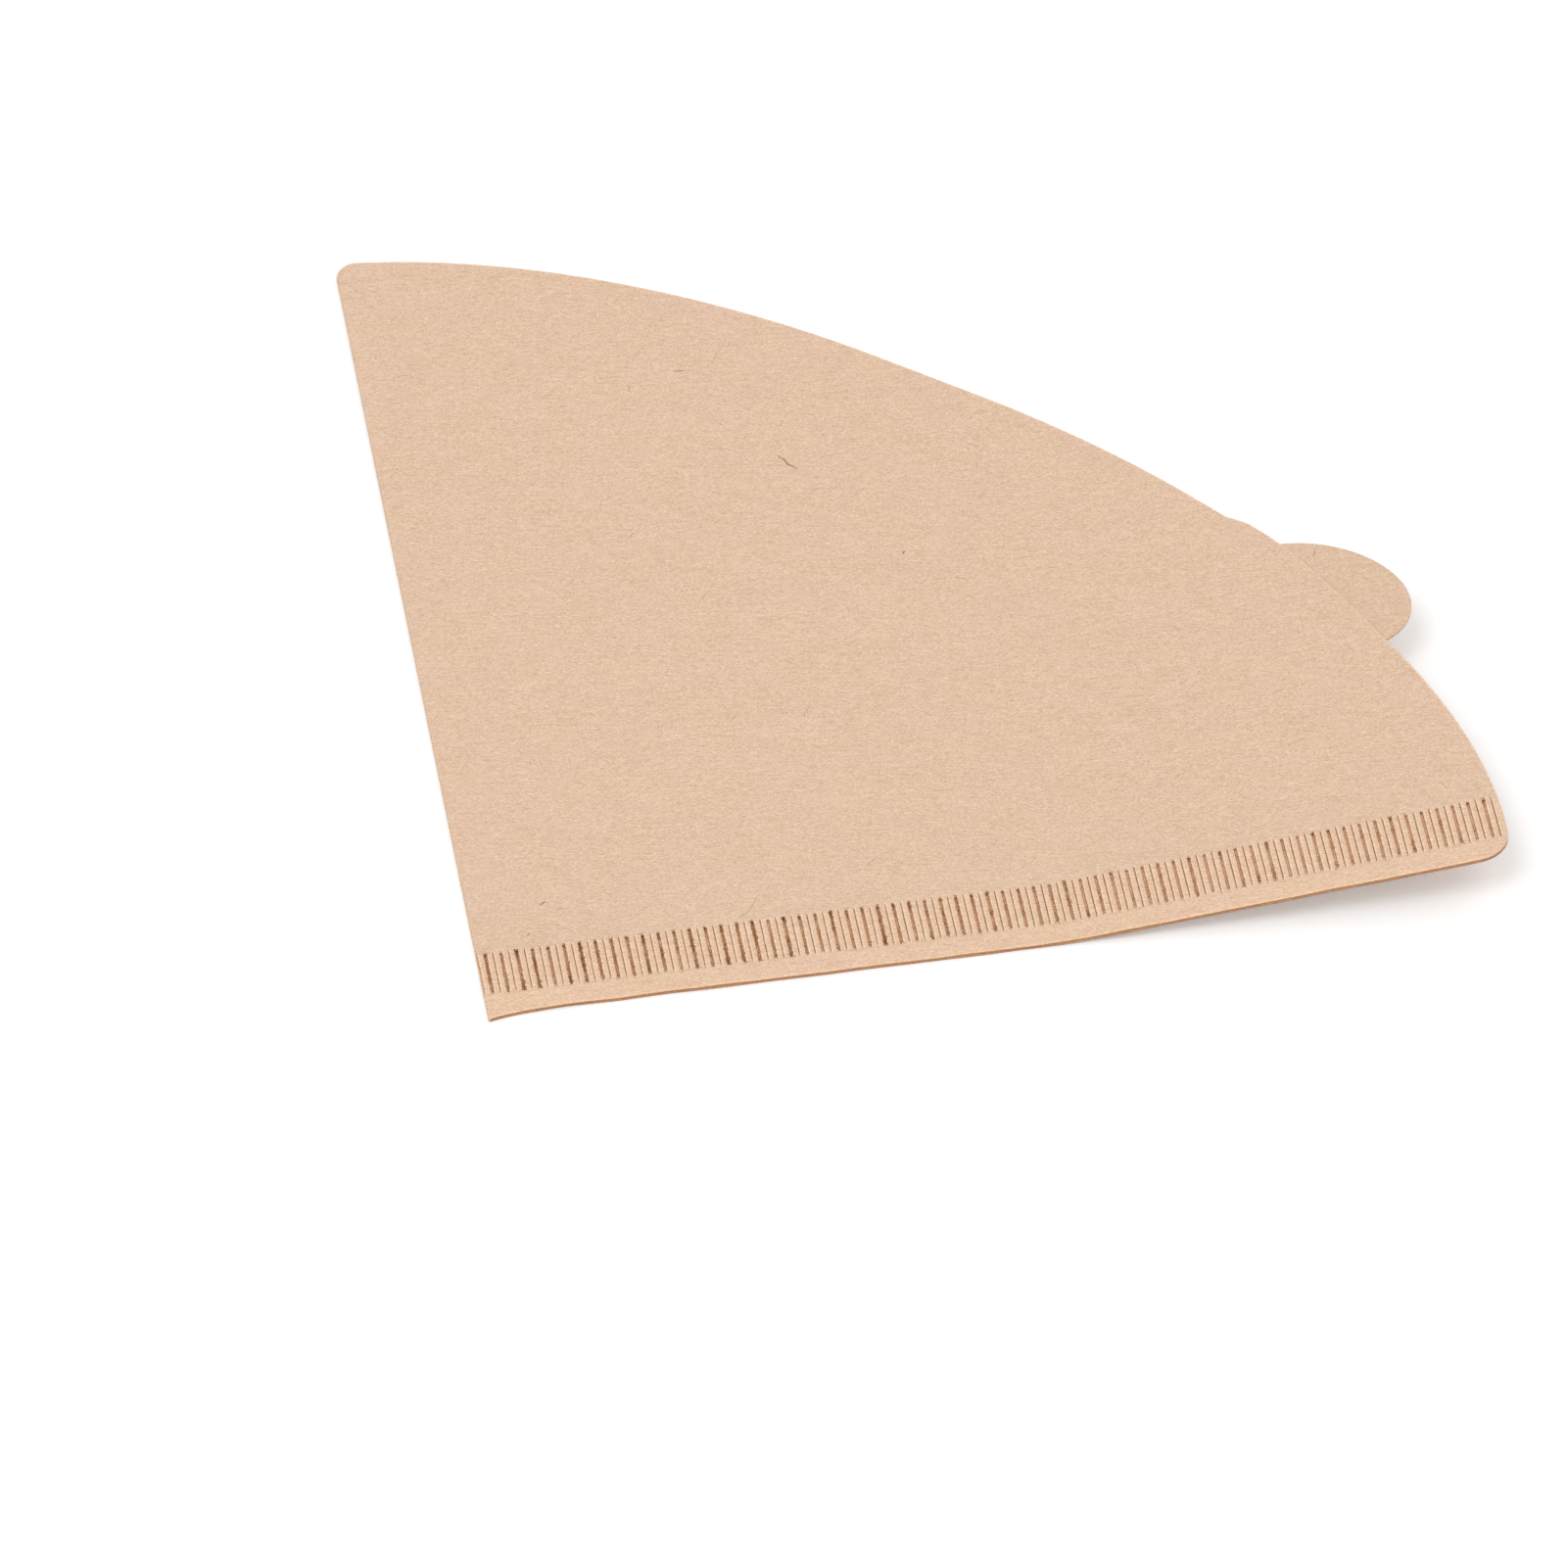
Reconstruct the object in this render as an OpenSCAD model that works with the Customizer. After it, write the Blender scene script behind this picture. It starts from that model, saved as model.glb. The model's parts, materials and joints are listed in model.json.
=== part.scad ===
// A paper coffee filter for a cone dripper, folded flat.
// One sheet is folded along the left edge. The two plies are crimped together along the front edge,
// and the curved rim is left open. The lower ply carries a tab to pull the filter open by.
// The outline is laid out on the flat paper, and then follows the sheet's gentle lift on the right.

/* [Paper] */
// Length of the folded edge, from the seam's cut edge to the rim
fold_len = 121.3; // [100:0.1:140]
// Length of the crimped edge, from the fold to the rim
seam_len = 117.8; // [100:0.1:140]
// Thickness of one ply
ply_t = 0.2; // [0.15:0.01:0.3]
// Space between the two plies
ply_gap = 0.08; // [0.05:0.01:0.2]

/* [Rim] */
// How far the rim falls away from square where it leaves the fold, in degrees
rim_fall = 3; // [0:0.1:8]
// How far the rim runs straight out from the fold before it is pulled round
rim_pull_fold = 56.2; // [40:0.1:70]
// How far the rim leans outwards where it leaves the seam, in degrees
rim_lean = 6.7; // [0:0.1:10]
// How far the rim runs straight up from the seam before it is pulled round
rim_pull_seam = 45.8; // [30:0.1:60]
// Radius of the corner between fold and rim
fold_corner_r = 2.5; // [0.5:0.1:5]
// Radius of the corner between seam and rim
seam_corner_r = 4; // [0.5:0.1:6]

/* [Tab] */
// Distance of the tab's middle from the seam's cut edge
tab_y = 43.7; // [35:0.1:60]
// Half the length of the tab's oval
tab_half_len = 11.6; // [8:0.1:14]
// Half the breadth of the tab's oval
tab_half_w = 8; // [6:0.1:11]
// Turn of the oval from the line of the rim, in degrees
tab_turn = 27.4; // [0:0.1:40]
// How far the oval's centre is set back inside the rim
tab_set_back = 1.7; // [0:0.1:4]
// How far the oval's centre is set along the rim, away from the seam
tab_set_along = 2.3; // [0:0.1:5]
// Height of the shoulder where the rim comes up to the tab
shoulder_h = 1; // [0:0.1:2]
// Length of the shoulder along the rim
shoulder_len = 28.5; // [15:0.1:40]
// How far the shoulder starts before the tab's middle
shoulder_lead = 18.5; // [12:0.1:25]

/* [Crimped seam] */
// Plain margin between the cut edge and the crimp
margin_w = 3.1; // [1:0.1:6]
// Length of the crimp's grooves
groove_len = 5.8; // [3:0.1:10]
// Distance from one wide groove to the next
groove_pitch = 1.8; // [1.4:0.01:3]
// Distance from the fold to the first wide groove
groove_start = 1.1; // [0.8:0.01:3]
// Least distance from the last wide groove to the rim, along the seam
groove_end = 1.4; // [1.3:0.1:5]
// Width of a wide groove at the surface
groove_w = 0.36; // [0.2:0.01:0.5]
// Width of a wide groove at its floor
groove_floor_w = 0.2; // [0.1:0.01:0.3]
// Depth of a wide groove
groove_depth = 0.26; // [0.1:0.01:0.3]
// Width of the slit midway between two wide grooves
slit_w = 0.12; // [0.06:0.01:0.2]
// Depth of the slit
slit_depth = 0.12; // [0.05:0.01:0.15]
// How far the cut edge runs out at the tip
run_out = 0.9; // [0:0.1:2]
// Length of the stretch of the cut edge that runs out
run_out_len = 5; // [2:0.5:12]

/* [Lift] */
// Distance from the fold to where the sheet starts to lift
lift_start = 61.6; // [55:0.1:80]
// Length of the sheet's bend
lift_len = 9.5; // [4:0.1:20]
// Angle of the lifted side, in degrees
lift_angle = 6.2; // [1:0.1:10]

/* [Hidden] */

rim_steps = 72;
corner_steps = 10;
tab_steps = 72;
fold_steps = 4;
lift_steps = 4;
// How far the cuts reach past the paper, from above and from the side
cut_over = 2;
teeth_over = 0.2;
// Least distance from the end of a corner's arc to the rim's next point
corner_gap = 0.2;

full_t = 2*ply_t + ply_gap;
crimp_top = margin_w + groove_len;
lift_r = lift_len*180/(PI*lift_angle);
groove_count = floor((seam_len - groove_end - groove_start)/groove_pitch) + 1;
paper_end = max(seam_len, fold_len) + shoulder_h + cut_over;

// A point on the paper, s from the fold and h above the underside, carried over the lift
function lifted(s, h) =
    let (over = s - lift_start, a = min(max(over, 0), lift_len)/lift_len*lift_angle, past = max(over - lift_len, 0))
    over <= 0 ? [s, h] : [
        lift_start + (lift_r - h)*sin(a) + past*cos(a),
        lift_r - (lift_r - h)*cos(a) + past*sin(a)
    ];
function lift_plan(points) = [for (p = points) [lifted(p.x, full_t/2).x, p.y]];

function arc(centre, r, from, to, steps) =
    [for (i = [0 : steps]) centre + r*[cos(from + (to - from)*i/steps), sin(from + (to - from)*i/steps)]];

// The rim, from the fold at t = 0 to the seam at t = 1
rim_ends = [[0, fold_len], [seam_len, 0]];
rim_handles = [
    rim_ends[0] + rim_pull_fold*[cos(rim_fall), -sin(rim_fall)],
    rim_ends[1] + rim_pull_seam*[sin(rim_lean), cos(rim_lean)]
];
function rim(t) =
    pow(1 - t, 3)*rim_ends[0] + 3*pow(1 - t, 2)*t*rim_handles[0]
    + 3*(1 - t)*t*t*rim_handles[1] + pow(t, 3)*rim_ends[1];
function rim_speed(t) =
    3*pow(1 - t, 2)*(rim_handles[0] - rim_ends[0]) + 6*(1 - t)*t*(rim_handles[1] - rim_handles[0])
    + 3*t*t*(rim_ends[1] - rim_handles[1]);
function rim_along(t) = rim_speed(t)/norm(rim_speed(t));
function rim_out(t) = [-rim_along(t).y, rim_along(t).x];

// Where along the rim the tab's middle is
tab_t = lookup(tab_y, [for (i = [rim_steps : -1 : 0]) [rim(i/rim_steps).y, i/rim_steps]]);
tab_speed = norm(rim_speed(tab_t));

// The shoulder rises quickly and runs out slowly
shoulder_peak = 3.5;
function shoulder(t) =
    let (x = (t - tab_t + shoulder_lead/tab_speed)*tab_speed/shoulder_len)
    x <= 0 || x >= 1 ? 0 : shoulder_h*shoulder_peak*sqrt(x)*pow(1 - x, 2);

// The corners where the rim meets the fold and the seam
fold_corner = [fold_corner_r, fold_len - fold_corner_r*(tan(rim_fall) + 1/cos(rim_fall))];
seam_corner = [seam_len + seam_corner_r*(tan(rim_lean) - 1/cos(rim_lean)), seam_corner_r];
fold_corner_end = fold_corner + fold_corner_r*[sin(rim_fall), cos(rim_fall)];
seam_corner_end = seam_corner + seam_corner_r*[cos(rim_lean), -sin(rim_lean)];

rim_line = [
    for (i = [rim_steps : -1 : 0])
        let (t = i/rim_steps, p = rim(t))
        if (p.x > fold_corner_end.x + corner_gap && p.y > seam_corner_end.y + corner_gap)
            p + shoulder(t)*rim_out(t)
];
sheet_line = concat(
    [[0, -run_out], [run_out_len, 0]],
    arc(seam_corner, seam_corner_r, -90, -rim_lean, corner_steps),
    rim_line,
    arc(fold_corner, fold_corner_r, 90 - rim_fall, 180, corner_steps)
);

// The tab's oval
tab_centre = rim(tab_t) - tab_set_back*rim_out(tab_t) - tab_set_along*rim_along(tab_t);
tab_long = cos(tab_turn)*rim_along(tab_t) + sin(tab_turn)*rim_out(tab_t);
tab_short = [-tab_long.y, tab_long.x];
tab_line = [
    for (i = [0 : tab_steps - 1])
        let (a = 360*i/tab_steps)
        tab_centre + tab_half_len*cos(a)*tab_long + tab_half_w*sin(a)*tab_short
];

// The origin lies under the middle of the sheet's box
sheet_xy = lift_plan(sheet_line);
middle = [
    max([for (p = sheet_xy) p.x])/2,
    (max([for (p = sheet_xy) p.y]) + min([for (p = sheet_xy) p.y]))/2
];

// Distances from the fold at which a side view of the paper needs a point
lift_points = [for (i = [0 : lift_steps]) lift_start + lift_len*i/lift_steps];

// Side view of a layer of the paper from height low to height high, with a round fold on the left
module layer(low, high) {
    r = (high - low)/2;
    under = concat([r], lift_points, [paper_end]);
    over = concat([paper_end], [for (i = [lift_steps : -1 : 0]) lift_points[i]], [r]);
    left = full_t/2 - r;
    polygon(concat(
        [for (s = under) lifted(s + (s == r ? left : 0), low)],
        [for (s = over) lifted(s + (s == r ? left : 0), high)],
        [for (i = [1 : fold_steps - 1])
            let (a = 90 + 180*i/fold_steps)
            [full_t/2 + r*cos(a), (low + high)/2 + r*sin(a)]]
    ));
}

// Stands a side view up and runs it from the front, at y, to the back
module run(y_from, y_to) {
    translate([0, y_to, 0])
        rotate([90, 0, 0])
            linear_extrude(y_to - y_from)
                children();
}

module from_above(points) {
    translate([0, 0, -cut_over])
        linear_extrude(paper_end)
            polygon(lift_plan(points));
}

module both_plies() {
    intersection() {
        from_above(sheet_line);
        run(-run_out - cut_over, paper_end) layer(0, full_t);
    }
}

module tab() {
    intersection() {
        from_above(tab_line);
        run(crimp_top, paper_end)
            polygon(concat(
                [for (s = lift_points) lifted(s, 0)], [lifted(paper_end, 0)],
                [lifted(paper_end, ply_t)], [for (i = [lift_steps : -1 : 0]) lifted(lift_points[i], ply_t)]
            ));
    }
}

// The pocket that the coffee goes into, and the open margin in front of the crimp
module between_plies() {
    run(crimp_top, paper_end) layer(ply_t, ply_t + ply_gap);
    run(-run_out - cut_over, margin_w) layer(ply_t, ply_t + ply_gap);
}

// Side view of the cuts that one crimping wheel presses into its face, going from face towards core
module teeth(first, face, core) {
    way = core > face ? 1 : -1;
    for (i = [0 : groove_count - 1]) {
        s = first + i*groove_pitch;
        polygon([
            lifted(s - groove_w/2, face - way*teeth_over), lifted(s - groove_w/2, face),
            lifted(s - groove_floor_w/2, face + way*groove_depth),
            lifted(s + groove_floor_w/2, face + way*groove_depth),
            lifted(s + groove_w/2, face), lifted(s + groove_w/2, face - way*teeth_over)
        ]);
        m = s - way*groove_pitch/2;
        polygon([
            lifted(m - slit_w/2, face - way*teeth_over), lifted(m - slit_w/2, face),
            lifted(m, face + way*slit_depth),
            lifted(m + slit_w/2, face), lifted(m + slit_w/2, face - way*teeth_over)
        ]);
    }
}

// The wheels mesh, so the grooves of the underside lie under the slits of the top
module crimp() {
    run(margin_w, crimp_top) {
        teeth(groove_start, full_t, 0);
        teeth(groove_start + groove_pitch/2, 0, full_t);
    }
}

module filter_paper() {
    color("burlywood")
        translate([-middle.x, -middle.y, 0])
            difference() {
                union() {
                    both_plies();
                    tab();
                }
                between_plies();
                crimp();
            }
}

filter_paper();
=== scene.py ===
import json
import math
import random

import bpy
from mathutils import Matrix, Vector, noise
from mathutils.bvhtree import BVHTree

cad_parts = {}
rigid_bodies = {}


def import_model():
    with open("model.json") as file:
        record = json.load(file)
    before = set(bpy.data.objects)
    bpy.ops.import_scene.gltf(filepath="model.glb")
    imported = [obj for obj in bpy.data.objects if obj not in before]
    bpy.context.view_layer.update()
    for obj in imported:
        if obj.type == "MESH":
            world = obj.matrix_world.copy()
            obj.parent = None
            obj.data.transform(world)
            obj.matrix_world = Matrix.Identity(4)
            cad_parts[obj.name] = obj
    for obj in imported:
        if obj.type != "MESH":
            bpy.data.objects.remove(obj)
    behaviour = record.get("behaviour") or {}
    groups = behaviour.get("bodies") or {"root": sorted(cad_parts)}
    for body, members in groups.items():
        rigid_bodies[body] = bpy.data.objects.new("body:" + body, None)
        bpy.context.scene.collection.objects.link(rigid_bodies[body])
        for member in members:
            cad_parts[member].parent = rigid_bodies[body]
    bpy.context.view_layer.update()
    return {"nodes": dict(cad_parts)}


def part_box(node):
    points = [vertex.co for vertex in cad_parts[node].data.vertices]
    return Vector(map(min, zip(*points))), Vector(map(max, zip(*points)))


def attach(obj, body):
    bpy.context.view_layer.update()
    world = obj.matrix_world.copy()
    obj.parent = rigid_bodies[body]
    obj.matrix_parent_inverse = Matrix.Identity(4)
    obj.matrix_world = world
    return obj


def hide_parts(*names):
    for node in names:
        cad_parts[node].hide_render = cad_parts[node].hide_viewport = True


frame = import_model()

MM = 0.001

# Sizes of the folded filter, as the part's source has them
PLY_T = 0.2*MM
FULL_T = 0.48*MM
SEAM_LEN = 117.8*MM
MARGIN_W = 3.1*MM
GROOVE_LEN = 5.8*MM
GROOVE_PITCH = 1.8*MM
GROOVE_START = 1.1*MM
GROOVE_W = 0.36*MM
GROOVE_DEPTH = 0.26*MM
GROOVE_COUNT = 65
SLIT_W = 0.12*MM
RUN_OUT = 0.9*MM
RUN_OUT_LEN = 5.0*MM
LIFT_START = 61.6*MM
LIFT_LEN = 9.5*MM
LIFT_ANGLE = math.radians(6.2)
LIFT_R = LIFT_LEN/LIFT_ANGLE
CRIMP_TOP = MARGIN_W + GROOVE_LEN

# The narrow strip along the rim's cut edge, and how far it curls up
RIM_STRIP = 0.16*MM
RIM_CURL = 0.03*MM
# How far the crimp's finish reaches past its grooves
BAND_OVER = 0.5*MM
# Both plies rise off the floor in soft swells: half of their greatest height, their number to a metre, and the
# distance from the seam at which they reach it
PUFF = 0.07*MM
PUFF_SWELLS = 28
PUFF_FREE = 30*MM
# How far the margin's cut edge waves up, and in and out, and how much more so at the tip, over what length
EDGE_WAVE = 0.09*MM
EDGE_SWAY = 0.10*MM
TIP_MORE = 1.6
TIP_REACH = 14*MM
# How far the upper ply stands open along that edge, the play between the plies there, and the share of the waves
# beyond it that the lower ply follows
EDGE_OPEN = 0.04*MM
EDGE_PLAY = 0.05*MM
LOWER_SHARE = 0.4
# The length over which the run-out at the tip fades away in a curve
TIP_CURVE = 3.2*MM
# How uneven the floors of the wide grooves are
GROOVE_ROUGH = 0.06*MM
# Where the corner's arc stands proud of the rim, and the share of this that is taken back
CORNER_START, CORNER_END = 1.2*MM, 3.7*MM
CORNER_BACK = 0.33
# How far apart the sheet is cut so that it can be shaped, and how far out it is cut as at the fold
FOLD_CUTS, OPEN_CUTS, MARGIN_CUTS, GROOVE_CUTS = 1*MM, 3*MM, 0.8*MM, 0.45*MM
NEAR_FOLD = 12*MM

# The sheet's finishes, by material slot
OPEN_FACE, CRIMP_ABOVE, CRIMP_BELOW, FRONT_CUT, MARGIN, CURLED_RIM, RIM_CUT, INSIDE = range(8)

# The photograph's view
PHOTO_PX = 1601
VIEW_AZ, VIEW_EL = math.radians(-9.503), math.radians(46.984)
VIEW_TARGET = Vector((-20.141, -30.742, 0.48))*MM
VIEW_DISTANCE = 1534.0*MM
LENS_MM, SENSOR_MM = 307.861, 36.0

# The light of the room, the floor's own light where it is seen, and the lamps: name, place, size and watts
ROOM_LIGHT = 0.665
FLOOR_GLOW = 0.20
LAMPS = [
    ("window lamp", (-0.80, -0.34, 1.82), 1.2, 11.0),
    ("fill lamp", (1.3, 0.7, 1.6), 1.5, 7.8),
]

# The paper's colours, linear, and the factors by which its patches and its lit margin edge differ
KRAFT = (0.757, 0.540, 0.389)
YELLOWISH, PINKISH = (0.996, 1.001, 0.980), (1.004, 0.999, 1.020)
LIT_EDGE = (1.13, 1.09, 1.03)
# The crimp's colours: the lit lips beside its cuts, the slits, the wide grooves, and where those are deepest. The
# browns of the slits and grooves are partly the pressed and cut paper's own colour and partly painted shade in these
# recesses, most of all where they are deepest
LIT_LIP = (0.93, 0.68, 0.51)
LIT_LIP_SHARE = 0.8
SLIT_BROWN_AND_SHADE = (0.47, 0.280, 0.165)
GROOVE_BROWN_AND_SHADE = (0.68, 0.440, 0.262)
DEEP_BROWN_AND_SHADE = (0.235, 0.090, 0.030)
# How much of the grain shows in red, green and blue, the way that it runs, and the depth of its bump
GRAIN_SHARES = (0.56, 0.82, 1.0)
GRAIN_TURN = math.radians(9.5)
GRAIN_DEPTH = 0.06*MM

# Flecks and stray hairs: finish, width in mm, and the photograph's pixels that they pass through, as read off
BROWN, RED, PALE = 0, 1, 2
FLECKS = [
    (RED, 0.15, (688.1, 379.6), (693.5, 378.8), (698.9, 378.2)),
    (BROWN, 0.09, (642.1, 393.9), (642.1, 399.5)),
    (RED, 0.20, (793.3, 464.8), (800.7, 469.5), (804.8, 474.2), (814.2, 478.9)),
    (BROWN, 0.08, (641.8, 549.9), (646.5, 544.5)),
    (BROWN, 0.24, (921.9, 565.6), (923.1, 563.2)),
    (BROWN, 0.08, (1342.8, 560.2), (1341.1, 567.5)),
    (BROWN, 0.05, (774.9, 912.7), (769.6, 922.1), (766.9, 927.5), (758.8, 934.9), (753.4, 938.3)),
    (BROWN, 0.07, (1469.8, 798.1), (1473.8, 801.0), (1477.9, 805.5)),
    (BROWN, 0.18, (550.5, 924.9), (556.4, 920.6)),
    (BROWN, 0.12, (537.8, 956.5), (540.3, 952.8)),
]

# Random fibres: how many lie on the upper and the lower side, and how many stand out of the cut edges
FAINT_FIBRES = ((1, 110), (-1, 60))
FUZZ_HAIRS = 160

low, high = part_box("filter_paper")


def add_node(tree, kind, inputs=None, **settings):
    """A new node with these settings, each input linked to a socket or set to a value."""
    made = tree.nodes.new(kind)
    for name, value in settings.items():
        setattr(made, name, value)
    for name, value in (inputs or {}).items():
        if isinstance(value, bpy.types.NodeSocket):
            tree.links.new(value, made.inputs[name])
        else:
            made.inputs[name].default_value = value
    return made


def maths(tree, operation, a, b=0.0, c=0.0):
    """The result of a Math node."""
    return add_node(tree, "ShaderNodeMath", {0: a, 1: b, 2: c}, operation=operation).outputs[0]


def smooth_step(tree, value, start, end, low_to=0.0, high_to=1.0):
    """A value that eases from low_to at start to high_to at end."""
    inputs = {"Value": value, "From Min": start, "From Max": end, "To Min": low_to, "To Max": high_to}
    return add_node(tree, "ShaderNodeMapRange", inputs, interpolation_type="SMOOTHSTEP").outputs[0]


def mix_colours(tree, amount, first, second, blend="MIX"):
    """The colour of a Mix node, whose inputs share their names and so are found by their places."""
    made = add_node(tree, "ShaderNodeMix", data_type="RGBA", blend_type=blend)
    factor, first_colour, second_colour, mixed = 0, 6, 7, 2
    for index, value in ((factor, amount), (first_colour, first), (second_colour, second)):
        if isinstance(value, bpy.types.NodeSocket):
            tree.links.new(value, made.inputs[index])
        else:
            made.inputs[index].default_value = (*value, 1.0) if isinstance(value, tuple) else value
    return made.outputs[mixed]


def stretched_noise(tree, place, stretch, turn=0.0, shift=(0.0, 0.0, 0.0), detail=2.0, rough=0.5):
    """Noise whose grains are 1/stretch metres long each way, turned in the plane of the paper."""
    turned = add_node(tree, "ShaderNodeVectorRotate", {"Vector": place, "Angle": turn}, rotation_type="Z_AXIS")
    scaled = add_node(tree, "ShaderNodeMapping", {"Vector": turned.outputs[0], "Location": shift, "Scale": stretch})
    return add_node(tree, "ShaderNodeTexNoise", {
        "Vector": scaled.outputs[0], "Scale": 1.0, "Detail": detail, "Roughness": rough}).outputs["Fac"]


def new_group(name, inputs, outputs):
    """A node group, with the sockets inside it that give its inputs and take its outputs."""
    tree = bpy.data.node_groups.new(name, "ShaderNodeTree")
    for in_out, sockets in (("INPUT", inputs), ("OUTPUT", outputs)):
        for socket, kind, value in sockets:
            made = tree.interface.new_socket(socket, in_out=in_out, socket_type="NodeSocket" + kind)
            if value is not None:
                made.default_value = value
    return tree, tree.nodes.new("NodeGroupInput").outputs, tree.nodes.new("NodeGroupOutput").inputs


def kraft_fibres_group():
    """Streaked fibres, fine grain and faint patches, as factors about 1 for colour and as a height."""
    tree, given, result = new_group("Kraft fibres", [
        ("Place", "Vector", None), ("Contrast", "Float", 1.0),
    ], [("Shade", "Float", None), ("Warmth", "Float", None), ("Height", "Float", None)])
    place = given["Place"]
    long_streaks = stretched_noise(tree, place, (340.0, 8600.0, 3000.0), GRAIN_TURN, (5.0, 6.0, 0.0), detail=1.0)
    streaks = stretched_noise(tree, place, (1100.0, 8600.0, 3000.0), GRAIN_TURN, detail=1.0)
    across = stretched_noise(tree, place, (1100.0, 7000.0, 3000.0), GRAIN_TURN + 0.5, (7.0, 3.0, 0.0))
    slanting = stretched_noise(tree, place, (1000.0, 6600.0, 3000.0), GRAIN_TURN - 0.6, (2.0, 9.0, 0.0))
    grain = stretched_noise(tree, place, (4200.0, 7800.0, 3000.0), GRAIN_TURN, (4.0, 1.0, 0.0), detail=1.0)
    patches = stretched_noise(tree, place, (260.0, 420.0, 3000.0), GRAIN_TURN, (1.0, 5.0, 0.0), detail=1.0)
    warmth = stretched_noise(tree, place, (190.0, 260.0, 3000.0), GRAIN_TURN, (8.0, 2.0, 0.0), detail=0.0)
    total = maths(tree, "MULTIPLY_ADD", maths(tree, "SUBTRACT", long_streaks, 0.5), 0.26, 0.0)
    for source, share in ((streaks, 0.34), (across, 0.22), (slanting, 0.22), (grain, 0.95), (patches, 0.05)):
        total = maths(tree, "MULTIPLY_ADD", maths(tree, "SUBTRACT", source, 0.5), share, total)
    tree.links.new(maths(tree, "MULTIPLY_ADD", total, given["Contrast"], 1.0), result["Shade"])
    tree.links.new(smooth_step(tree, warmth, 0.35, 0.65), result["Warmth"])
    tree.links.new(total, result["Height"])
    return tree


def crimp_group():
    """The pressed grooves and slits across the seam. Start is where the first wide groove lies."""
    tree, given, result = new_group("Pressed crimp", [
        ("Place", "Vector", None), ("Start", "Float", GROOVE_START),
    ], [("Band", "Float", None), ("Wide", "Float", None), ("Deep", "Float", None), ("Slit", "Float", None),
        ("Lit lip", "Float", None)])
    split = add_node(tree, "ShaderNodeSeparateXYZ", {0: given["Place"]}).outputs
    along = maths(tree, "DIVIDE", maths(tree, "SUBTRACT", split[0], given["Start"]), GROOVE_PITCH)
    which = maths(tree, "FLOOR", maths(tree, "ADD", along, 0.5))
    offset = maths(tree, "MULTIPLY", maths(tree, "SUBTRACT", along, which), GROOVE_PITCH)
    away = maths(tree, "ABSOLUTE", offset)
    from_slit = maths(tree, "SUBTRACT", GROOVE_PITCH/2, away)
    up = maths(tree, "SUBTRACT", split[1], MARGIN_W)
    ends = maths(tree, "MINIMUM", up, maths(tree, "SUBTRACT", GROOVE_LEN, up))

    ragged = stretched_noise(tree, given["Place"], (6500.0, 3000.0, 900.0), rough=0.7)
    wobble = maths(tree, "MULTIPLY", maths(tree, "SUBTRACT", ragged, 0.5), 1.0*MM)
    own = add_node(tree, "ShaderNodeTexWhiteNoise", {"W": which}, noise_dimensions="1D").outputs["Value"]
    half = maths(tree, "ADD", wobble, maths(tree, "MULTIPLY_ADD", own, 0.08*MM, GROOVE_W/2 - 0.03*MM))
    inside = maths(tree, "SUBTRACT", half, away)
    reach = smooth_step(tree, maths(tree, "MULTIPLY_ADD", wobble, 0.5, ends), -0.32*MM, -0.16*MM)
    counted = maths(tree, "MULTIPLY", maths(tree, "LESS_THAN", which, GROOVE_COUNT - 0.5), reach)
    wide = maths(tree, "MULTIPLY", smooth_step(tree, inside, -0.10*MM, 0.04*MM), counted)
    core = maths(tree, "MULTIPLY", smooth_step(tree, inside, -0.04*MM, 0.05*MM), counted)
    tree.links.new(smooth_step(tree, ends, -0.45*MM, 0.25*MM), result["Band"])

    # How dark each stretch of a groove is painted, partly as the pressed paper's own colour and partly as painted
    # shade in the
    # recess: fibres that bridge it stay pale, its ends are darkest, and the grooves grow darker towards the tip
    cell = add_node(tree, "ShaderNodeCombineXYZ", {
        0: maths(tree, "MULTIPLY", which, 3.7), 1: maths(tree, "MULTIPLY", up, 420.0)}).outputs[0]
    pressed = add_node(tree, "ShaderNodeTexNoise", {"Vector": cell, "Scale": 1.0, "Detail": 1.0}).outputs["Fac"]
    speckle = stretched_noise(tree, given["Place"], (7500.0, 5200.0, 900.0), shift=(3.0, 8.0, 0.0), rough=0.75)
    pressed = maths(tree, "MULTIPLY_ADD", pressed, 0.80, maths(tree, "MULTIPLY", own, 0.12))
    pressed = maths(tree, "ADD", pressed, smooth_step(tree, split[0], 40*MM, 85*MM, 0.13, -0.02))
    pressed = maths(tree, "ADD", pressed, smooth_step(tree, ends, 1.4*MM, 0.15*MM, 0.0, 0.05))
    pressed = maths(tree, "MULTIPLY_ADD", speckle, 1.30, pressed)
    opened, sunk = smooth_step(tree, pressed, 0.90, 1.22, 0.20, 1.0), smooth_step(tree, pressed, 1.10, 1.42)
    tree.links.new(maths(tree, "MULTIPLY", wide, opened), result["Wide"])
    tree.links.new(maths(tree, "MULTIPLY", core, sunk), result["Deep"])

    # The slits' brown is partly the cut paper's own colour and partly painted shade in the cut, paler where fibres
    # bridge it
    slit_half = maths(tree, "MULTIPLY_ADD", wobble, 0.12, SLIT_W/2 + 0.02*MM)
    slit = smooth_step(tree, maths(tree, "SUBTRACT", slit_half, from_slit), -0.04*MM, 0.03*MM)
    broken = smooth_step(tree, pressed, 1.50, 1.05, 0.30, 1.0)
    tree.links.new(maths(tree, "MULTIPLY", maths(tree, "MULTIPLY", slit, broken), reach), result["Slit"])

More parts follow.
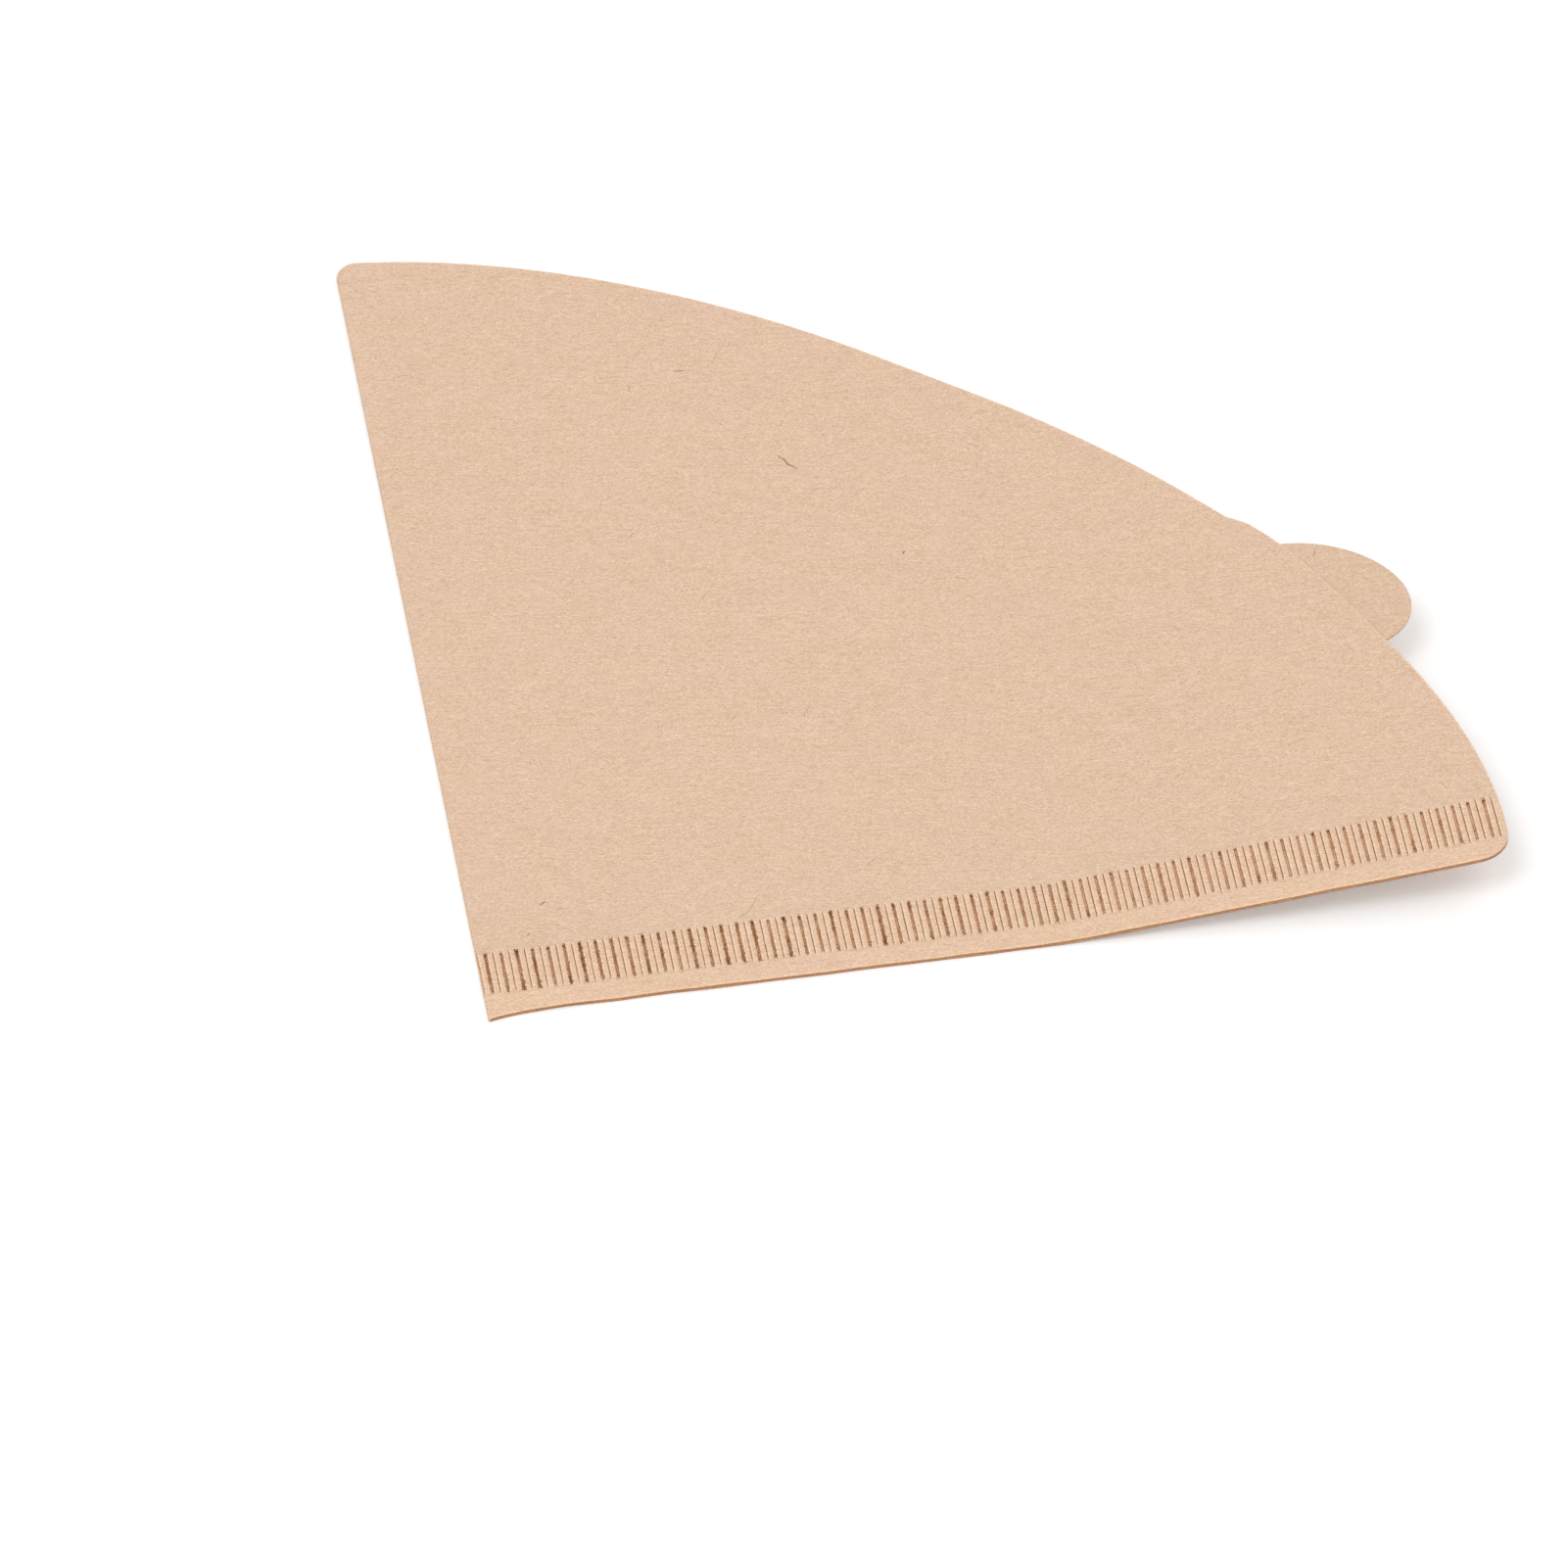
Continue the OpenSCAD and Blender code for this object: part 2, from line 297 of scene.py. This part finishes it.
    from_groove_lip = maths(tree, "ABSOLUTE", maths(tree, "SUBTRACT", offset, 0.27*MM))
    from_slit_lip = maths(tree, "ABSOLUTE", maths(tree, "ADD", offset, 0.75*MM))
    right_of_groove = smooth_step(tree, from_groove_lip, 0.13*MM, 0.05*MM)
    right_of_slit = smooth_step(tree, from_slit_lip, 0.12*MM, 0.05*MM)
    lips = maths(tree, "MAXIMUM", right_of_groove, right_of_slit)
    tree.links.new(maths(tree, "MULTIPLY", lips, reach), result["Lit lip"])
    return tree


def times(colour, factors):
    """A colour multiplied by one factor for each of its parts."""
    return tuple(c*f for c, f in zip(colour, factors))


def paper_shader(name, base, contrast=1.0, bump=0.25, crimp_start=None, lip=False, loose=False):
    """A matte paper. Its crimp_start is given on the band that the crimping wheels press, lip on the margin, whose cut
    edge catches the light, and loose on fibres that don't belong to the sheet."""
    made = bpy.data.materials.new(name)
    made.use_nodes = True
    tree = made.node_tree
    shader = tree.nodes["Principled BSDF"]
    if loose:
        place = tree.nodes.new("ShaderNodeTexCoord").outputs["Object"]
    else:
        place = add_node(tree, "ShaderNodeAttribute", attribute_name="flat_place").outputs["Vector"]
    fibres = add_node(tree, "ShaderNodeGroup", node_tree=FIBRES)
    tree.links.new(place, fibres.inputs["Place"])
    fibres.inputs["Contrast"].default_value = contrast
    colour = mix_colours(tree, fibres.outputs["Warmth"], times(base, YELLOWISH), times(base, PINKISH))
    if lip:
        split = add_node(tree, "ShaderNodeSeparateXYZ", {0: place}).outputs
        run_out = maths(tree, "MULTIPLY_ADD", split[0], -RUN_OUT/RUN_OUT_LEN, RUN_OUT)
        inside = maths(tree, "ADD", split[1], maths(tree, "MAXIMUM", run_out, 0.0))
        near = smooth_step(tree, inside, 0.42*MM, 0.16*MM)
        colour = mix_colours(tree, near, colour, times(base, LIT_EDGE))
    height = fibres.outputs["Height"]
    if crimp_start is not None:
        crimp = add_node(tree, "ShaderNodeGroup", node_tree=CRIMP)
        tree.links.new(place, crimp.inputs["Place"])
        crimp.inputs["Start"].default_value = crimp_start
        colour = mix_colours(tree, crimp.outputs["Band"], colour, BAND)
        lit = maths(tree, "MULTIPLY", crimp.outputs["Lit lip"], LIT_LIP_SHARE)
        colour = mix_colours(tree, lit, colour, LIT_LIP)
        # The browns of the slits and grooves are partly the paper's own colour and partly painted shade in these
        # recesses
        for cut, brown in (("Slit", SLIT_BROWN_AND_SHADE), ("Wide", GROOVE_BROWN_AND_SHADE), ("Deep", DEEP_BROWN_AND_SHADE)):
            colour = mix_colours(tree, crimp.outputs[cut], colour, brown)
    grain = maths(tree, "SUBTRACT", fibres.outputs["Shade"], 1.0)
    shade = add_node(tree, "ShaderNodeCombineXYZ", {
        i: maths(tree, "MULTIPLY_ADD", grain, share, 1.0) for i, share in enumerate(GRAIN_SHARES)}).outputs[0]
    colour = mix_colours(tree, 1.0, colour, shade, "MULTIPLY")
    tree.links.new(colour, shader.inputs["Base Color"])
    shader.inputs["Roughness"].default_value = 0.9
    shader.inputs["Specular IOR Level"].default_value = 0.2
    pressed = add_node(tree, "ShaderNodeBump", {"Height": height, "Strength": bump, "Distance": GRAIN_DEPTH})
    tree.links.new(pressed.outputs[0], shader.inputs["Normal"])
    return made


def in_flat(point):
    """Where a point of the frame lies on the flat paper: from the fold, from the seam's straight cut edge, and up
    through the plies."""
    x, y, z = point.x - low.x, point.y - low.y - RUN_OUT, point.z
    if x <= LIFT_START:
        return Vector((x, y, z))
    angle = math.atan2(x - LIFT_START, LIFT_R - z)
    if angle <= LIFT_ANGLE:
        return Vector((LIFT_START + angle*LIFT_R, y, LIFT_R - math.hypot(x - LIFT_START, LIFT_R - z)))
    x -= LIFT_START + LIFT_R*math.sin(LIFT_ANGLE)
    z -= LIFT_R - LIFT_R*math.cos(LIFT_ANGLE)
    cos, sin = math.cos(LIFT_ANGLE), math.sin(LIFT_ANGLE)
    return Vector((LIFT_START + LIFT_LEN + x*cos + z*sin, y, z*cos - x*sin))


def only(piece):
    """Makes the piece the active and only selected one."""
    bpy.ops.object.select_all(action="DESELECT")
    piece.select_set(True)
    bpy.context.view_layer.objects.active = piece


def cut_across(axis, places):
    """Cuts the whole piece at these places along an axis, so that it can be shaped there."""
    normal = [float(axis == i) for i in range(3)]
    for place in places:
        bpy.ops.mesh.select_all(action="SELECT")
        bpy.ops.mesh.bisect(plane_co=[n*place for n in normal], plane_no=normal)


def steps(start, end, size):
    """Even places between start and end, about size apart."""
    count = max(1, round((end - start)/size))
    return [start + (end - start)*i/count for i in range(1, count)]


def part_off_rim(sheet, start):
    """Insets the upper faces beyond start, and marks the narrow strip along their cut edge as rim_strip."""
    cut_across(1, [start])
    bpy.ops.mesh.select_all(action="DESELECT")
    bpy.ops.object.mode_set(mode="OBJECT")
    for face in sheet.data.polygons:
        face.select = face.normal.z > 0.95 and face.center.y > start and in_flat(face.center).z > 0.1*MM
    bpy.ops.object.mode_set(mode="EDIT")
    bpy.ops.mesh.select_mode(type="FACE")
    bpy.ops.mesh.inset(thickness=RIM_STRIP, depth=0.0, use_even_offset=True, use_select_inset=True)
    bpy.ops.object.mode_set(mode="OBJECT")
    strip = sheet.data.attributes.new("rim_strip", "INT", "FACE")
    for face in sheet.data.polygons:
        beside_rim = face.center.x > low.x + 1*MM and face.center.y > start + RIM_STRIP
        strip.data[face.index].value = int(face.select and beside_rim)
    bpy.ops.object.mode_set(mode="EDIT")
    bpy.ops.mesh.region_to_loop()
    bpy.ops.mesh.mark_sharp()


def make_sheet(node):
    """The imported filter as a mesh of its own, cut finely enough to be shaped."""
    sheet = bpy.data.objects.new("paper_sheet", node.data.copy())
    bpy.context.scene.collection.objects.link(sheet)
    only(sheet)
    sheet.data.materials.clear()
    bpy.ops.mesh.customdata_custom_splitnormals_clear()
    bpy.ops.object.mode_set(mode="EDIT")
    bpy.ops.mesh.select_all(action="SELECT")
    bpy.ops.mesh.remove_doubles(threshold=0.001*MM)
    seam = low.y + RUN_OUT
    part_off_rim(sheet, seam + CRIMP_TOP + BAND_OVER)
    near_fold, band_start = low.x + NEAR_FOLD, seam + MARGIN_W - BAND_OVER
    cut_across(0, steps(low.x, near_fold, FOLD_CUTS) + steps(near_fold, high.x, OPEN_CUTS))
    cut_across(1, steps(low.y, band_start, MARGIN_CUTS) + [band_start])
    cut_across(1, steps(seam + MARGIN_W, seam + CRIMP_TOP, GROOVE_CUTS))
    cut_across(1, steps(seam + CRIMP_TOP, high.y, OPEN_CUTS))
    bpy.ops.object.mode_set(mode="OBJECT")
    return sheet


def flutter(along, seed, size):
    """A wave along the cut edge, of no set rhythm."""
    return size*noise.noise(Vector((along*170.0, seed, 0.0)))


def shape_sheet(sheet):
    """Loosens the sheet a little, as paper lies, and notes where each point lies on the flat paper."""
    mesh = sheet.data
    flat = [in_flat(v.co) for v in mesh.vertices]
    for vertex, at in zip(mesh.vertices, flat):
        puff = PUFF*(noise.noise(Vector((at.x*PUFF_SWELLS, at.y*PUFF_SWELLS, 3.0))) + 1.0)
        free = min(1.0, max(0.0, at.y/PUFF_FREE))
        vertex.co.z += puff*free
        if at.y < MARGIN_W:
            # The tip's cut edge runs out along a curve, in place of the part's straight line
            straight = max(0.0, RUN_OUT*(1.0 - at.x/RUN_OUT_LEN))
            curved = RUN_OUT*math.exp(-at.x/TIP_CURVE)
            vertex.co.y += (straight - curved)*(MARGIN_W - at.y)/(MARGIN_W + straight)
            out = 1.0 - max(at.y, 0.0)/MARGIN_W
            upper = at.z > FULL_T/2
            near_tip = 1.0 + TIP_MORE*math.exp(-at.x/TIP_REACH)
            wave = flutter(at.x, 2.0, EDGE_WAVE)*near_tip
            rise = max(wave, -EDGE_PLAY) + EDGE_OPEN if upper else max(wave - EDGE_PLAY, 0.0)*LOWER_SHARE
            vertex.co.z += out*out*rise
            vertex.co.y += out*out*flutter(at.x, 11.0 if upper else 14.0, EDGE_SWAY)*near_tip
        # The wide grooves' floors are uneven
        elif at.y < CRIMP_TOP and abs(at.z - FULL_T + GROOVE_DEPTH) < 0.01*MM:
            vertex.co.z += GROOVE_ROUGH*noise.noise(Vector((at.x*2000, at.y*700, 5.0)))
        # The corner runs on into the rim without a step
        if at.x > SEAM_LEN and CORNER_START < at.y < CORNER_END:
            inwards = CORNER_BACK*(at.x - SEAM_LEN)
            vertex.co.x -= inwards*math.cos(LIFT_ANGLE)
            vertex.co.z -= inwards*math.sin(LIFT_ANGLE)
    strip = mesh.attributes["rim_strip"].data
    inner = {i for f in mesh.polygons if not strip[f.index].value and f.normal.z > 0.9 for i in f.vertices}
    for i in {i for f in mesh.polygons if strip[f.index].value for i in f.vertices} - inner:
        mesh.vertices[i].co.z += RIM_CURL
    layer = mesh.attributes.new("flat_place", "FLOAT_VECTOR", "POINT")
    layer.data.foreach_set("vector", [c for at in flat for c in at])
    return flat


def dress_sheet(sheet, flat):
    """Gives each face the paper's finish there."""
    mesh = sheet.data
    for material in (
            KRAFT_FACE, CRIMP_UPPER, CRIMP_LOWER, CUT_EDGE, MARGIN_FACE, PAINTED_RIM_HIGHLIGHT, RIM_EDGE, SHADED_INNER_FACE):
        mesh.materials.append(material)
    strip = mesh.attributes["rim_strip"].data
    for face in mesh.polygons:
        at = sum((flat[i] for i in face.vertices), Vector())/len(face.vertices)
        lean = LIFT_ANGLE if at.x > LIFT_START + LIFT_LEN else max(0.0, at.x - LIFT_START)/LIFT_R
        facing = face.normal.z*math.cos(lean) - face.normal.x*math.sin(lean)
        in_band = MARGIN_W - BAND_OVER < at.y < CRIMP_TOP + BAND_OVER
        groove_end = in_band and abs(face.normal.y) > 0.9
        if strip[face.index].value and at.z > FULL_T/2:
            face.material_index = CURLED_RIM
        elif abs(facing) < 0.3 and at.x > FULL_T and not groove_end:
            face.material_index = FRONT_CUT if at.y < CRIMP_TOP else RIM_CUT
        elif in_band:
            above = facing > 0.1 or (facing > -0.1 and at.z > FULL_T/2)
            face.material_index = CRIMP_ABOVE if above else CRIMP_BELOW
        elif at.y < MARGIN_W:
            face.material_index = MARGIN
        else:
            face.material_index = INSIDE if 0.5*PLY_T < at.z < FULL_T - 0.5*PLY_T else OPEN_FACE


def make_camera():
    """The camera at the photograph's view."""
    back = Vector((
        math.sin(VIEW_AZ)*math.cos(VIEW_EL), -math.cos(VIEW_AZ)*math.cos(VIEW_EL), math.sin(VIEW_EL)))
    data = bpy.data.cameras.new("view")
    data.lens, data.sensor_width = LENS_MM, SENSOR_MM
    camera = bpy.data.objects.new("view", data)
    bpy.context.scene.collection.objects.link(camera)
    camera.location = VIEW_TARGET + VIEW_DISTANCE*back
    camera.rotation_euler = back.to_track_quat("Z", "Y").to_euler()
    bpy.context.scene.camera = camera
    return camera


def seen_at(camera, surface, pixel):
    """The point of the paper that the photograph shows at a pixel."""
    across, down = [(value - PHOTO_PX/2)/PHOTO_PX*SENSOR_MM/LENS_MM for value in pixel]
    turn = camera.rotation_euler.to_matrix()
    return surface.ray_cast(camera.location, (turn @ Vector((across, -down, -1.0))).normalized())[0]


def model_fibre(points, width, kind):
    """One fibre in the object being edited: a small ring, extruded from point to point and thin at its ends."""
    way = (points[1] - points[0]).to_track_quat("Z", "Y").to_euler()
    bpy.ops.mesh.primitive_circle_add(
        vertices=5, radius=0.2*width, fill_type="NGON", location=points[0], rotation=way)
    for i in range(1, len(points)):
        bpy.ops.mesh.extrude_region_move(TRANSFORM_OT_translate={"value": points[i] - points[i - 1]})
        size = 2.5 if i == 1 else 0.4 if i == len(points) - 1 else 1.0
        bpy.ops.transform.resize(value=(size, size, size), center_override=points[i])
    bpy.ops.mesh.select_linked()
    bpy.context.object.active_material_index = kind
    bpy.ops.object.material_slot_assign()
    bpy.ops.mesh.select_all(action="DESELECT")


def bow(start, heading, length, bend, count=6):
    """Points along a fibre that starts level with heading and bends evenly."""
    points, at = [], start.copy()
    for i in range(count):
        points.append(at.copy())
        at += length/(count - 1)*Vector((math.cos(heading), math.sin(heading), 0.0))
        heading += bend/(count - 1)
    return points


def make_strands(sheet, camera):
    """Flecks and hairs on the paper, faint fibres all over it, and fuzz where it is cut."""
    draw = random.Random(5)
    faces = sheet.data.polygons
    surface = BVHTree.FromPolygons([v.co for v in sheet.data.vertices], [p.vertices for p in faces])
    strands = bpy.data.objects.new("stray_fibres", bpy.data.meshes.new("stray_fibres"))
    bpy.context.scene.collection.objects.link(strands)
    for material in (BROWN_FIBRE, RED_FIBRE, PALE_FIBRE):
        strands.data.materials.append(material)
    only(strands)
    bpy.ops.object.mode_set(mode="EDIT")
    for kind, width, *pixels in FLECKS:
        model_fibre([seen_at(camera, surface, pixel) for pixel in pixels], width*MM, kind)

    for side, count in FAINT_FIBRES:
        while count:
            start = Vector((draw.uniform(low.x, high.x), draw.uniform(low.y, high.y), 0.02*side))
            path = bow(start, draw.gauss(GRAIN_TURN, 0.6), draw.uniform(0.7, 2.6)*MM, draw.gauss(0.0, 1.0))
            kind = draw.choice((BROWN, PALE, PALE, PALE, PALE))
            width = draw.uniform(0.05, 0.10 if kind == PALE else 0.065)*MM
            found = [surface.ray_cast(point, Vector((0, 0, -side)))[0] for point in path]
            # Drawn again on the crimp, past the sheet, over a step, and below where the sheet lies on the floor
            if start.y < low.y + RUN_OUT + CRIMP_TOP + 2*MM or None in found:
                continue
            heights = [point.z for point in found]
            if max(heights) - min(heights) > 0.35*MM or side < 0 and min(heights) < 0.3*MM:
                continue
            model_fibre([point - Vector((0, 0, side*0.2*width)) for point in found], width, kind)
            count -= 1

    cut = [face for face in faces if face.material_index in (FRONT_CUT, RIM_CUT) and face.area > 0.01*MM*MM]
    for face in draw.sample(cut, FUZZ_HAIRS):
        root, length = face.center - 0.02*MM*face.normal, draw.uniform(0.10, 0.34)*MM
        out = (face.normal + Vector([draw.gauss(0.0, 0.5) for i in range(3)])).normalized()
        tip = root + length*(out + Vector([draw.gauss(0.0, 0.25) for i in range(3)]))
        path = [root, root + 0.5*length*out, tip]
        if min(point.z for point in path) > 0.03*MM:
            model_fibre(path, 0.04*MM, draw.choice((BROWN, PALE, PALE)))

    bpy.ops.mesh.select_all(action="SELECT")
    bpy.ops.mesh.normals_make_consistent(inside=False)
    bpy.ops.object.mode_set(mode="OBJECT")
    return strands


def shown_white(tree, lit, shown):
    """A strength that is one value for light and another where the camera, gloss or glass looks."""
    path = tree.nodes.new("ShaderNodeLightPath").outputs
    seen = maths(tree, "MAXIMUM", path["Is Camera Ray"], path["Is Glossy Ray"])
    seen = maths(tree, "MAXIMUM", seen, path["Is Transmission Ray"])
    return maths(tree, "MULTIPLY_ADD", seen, shown - lit, lit)


def make_surroundings():
    """The white room, its floor and its lamps."""
    world = bpy.data.worlds.new("soft white room")
    bpy.context.scene.world = world
    world.use_nodes = True
    tree = world.node_tree
    tree.links.new(shown_white(tree, ROOM_LIGHT, 1.0), tree.nodes["Background"].inputs["Strength"])
    tree.nodes["Background"].inputs["Color"].default_value = (1.0, 1.0, 1.0, 1.0)

    bpy.ops.mesh.primitive_plane_add(size=6.0, location=(0, 0, 0))
    floor = bpy.context.active_object
    floor.name = "pale_floor"
    material = bpy.data.materials.new("pale floor")
    material.use_nodes = True
    tree = material.node_tree
    tree.nodes.clear()
    diffuse = add_node(tree, "ShaderNodeBsdfDiffuse", {"Color": (0.9, 0.9, 0.9, 1.0)})
    glow = add_node(tree, "ShaderNodeEmission", {"Strength": shown_white(tree, 0.0, FLOOR_GLOW)})
    both = add_node(tree, "ShaderNodeAddShader", {0: diffuse.outputs[0], 1: glow.outputs[0]})
    out = tree.nodes.new("ShaderNodeOutputMaterial")
    tree.links.new(both.outputs[0], out.inputs["Surface"])
    floor.data.materials.append(material)

    for name, place, size, watts in LAMPS:
        data = bpy.data.lights.new(name, "AREA")
        data.shape, data.size, data.energy = "DISK", size, watts
        lamp = bpy.data.objects.new(name, data)
        bpy.context.scene.collection.objects.link(lamp)
        lamp.location = place
        lamp.rotation_euler = Vector(place).to_track_quat("Z", "Y").to_euler()


FIBRES = kraft_fibres_group()
CRIMP = crimp_group()
KRAFT_FACE = paper_shader("kraft paper", KRAFT)
BAND = times(KRAFT, (1.05, 1.025, 1.0))
CRIMP_UPPER = paper_shader("crimped band, upper ply", KRAFT, crimp_start=GROOVE_START)
CRIMP_LOWER = paper_shader("crimped band, lower ply", KRAFT, crimp_start=GROOVE_START + GROOVE_PITCH/2)
# The front cut edge's dark orange-brown is partly the cut paper's own tone and partly painted shade
CUT_EDGE = paper_shader("cut edge", (0.56, 0.30, 0.16), contrast=0.8, bump=0.5)
# The curled strip along the rim is painted lighter than the paper: a painted highlight along the rim's edge
PAINTED_RIM_HIGHLIGHT = paper_shader("curled rim, painted highlight", times(KRAFT, (1.10, 1.115, 1.13)))
# The tab and the inside of the pocket are a little darker than the paper: painted shade
SHADED_INNER_FACE = paper_shader("tab and inside of the pocket, painted shade", times(KRAFT, (0.972, 0.968, 0.962)))
RIM_EDGE = paper_shader("cut edge of the rim", (0.70, 0.47, 0.32), contrast=0.8, bump=0.5)
MARGIN_FACE = paper_shader("margin in front of the crimp", times(KRAFT, (1.05, 1.03, 1.01)), lip=True)

BROWN_FIBRE = paper_shader("brown fibre", (0.36, 0.215, 0.125), contrast=1.4, loose=True)
RED_FIBRE = paper_shader("reddish bark fleck", (0.43, 0.24, 0.155), contrast=1.4, loose=True)
PALE_FIBRE = paper_shader("pale fibre", (0.87, 0.65, 0.485), contrast=0.6, loose=True)

sheet = make_sheet(frame["nodes"]["filter_paper"])
flat = shape_sheet(sheet)
dress_sheet(sheet, flat)
only(sheet)
bpy.ops.object.shade_smooth_by_angle(angle=math.radians(50))
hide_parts("filter_paper")
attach(sheet, "root")

make_surroundings()
camera = make_camera()
strands = make_strands(sheet, camera)
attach(strands, "root")

bpy.context.scene.view_settings.view_transform = "Standard"
